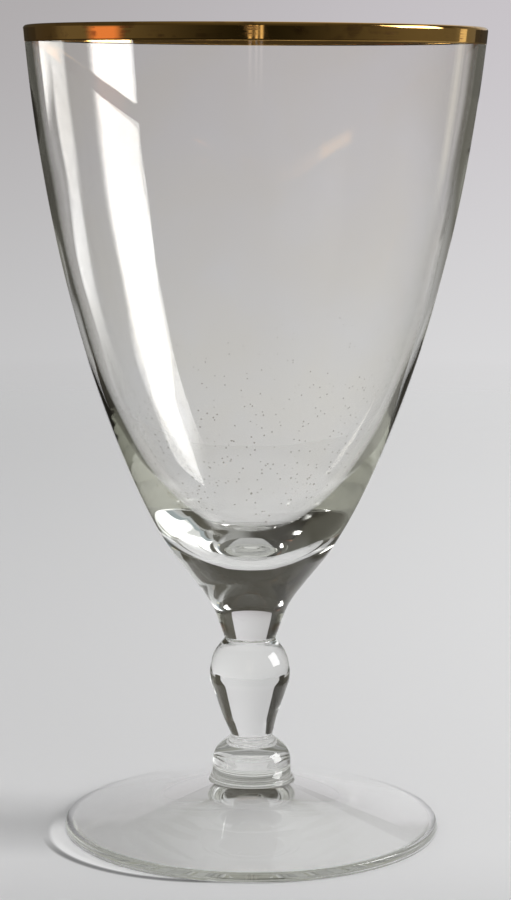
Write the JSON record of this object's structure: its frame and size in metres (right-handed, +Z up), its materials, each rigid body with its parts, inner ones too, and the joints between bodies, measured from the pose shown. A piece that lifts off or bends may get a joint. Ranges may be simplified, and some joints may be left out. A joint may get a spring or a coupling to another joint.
{
  "type": "footed iced tea glass",
  "caption": "Clear stemmed drinking glass with a tall flared bowl, gilded lip, short baluster stem on stacked collars and a wide hollow conical foot.",
  "frame": {"origin": "centre of the foot's resting ring, on the table", "axes": "+Z up along the glass's axis; the glass is round, so X and Y are any two level directions"},
  "size_m": [0.0932, 0.0932, 0.1653],
  "materials": {
    "bowl_glass": "clear, fire polished",
    "stem_glass": "clear, fire polished",
    "foot_glass": "clear with a faint green edge",
    "rim_gilding": "fired gilding, bright, lightly worn"
  },
  "bodies": {
    "root": {"foot": "foot_glass", "lower_collar": "stem_glass", "upper_collar": "stem_glass", "stem": "stem_glass", "bowl": "bowl_glass", "rim_gold_band": "rim_gilding"}
  },
  "joints": []
}
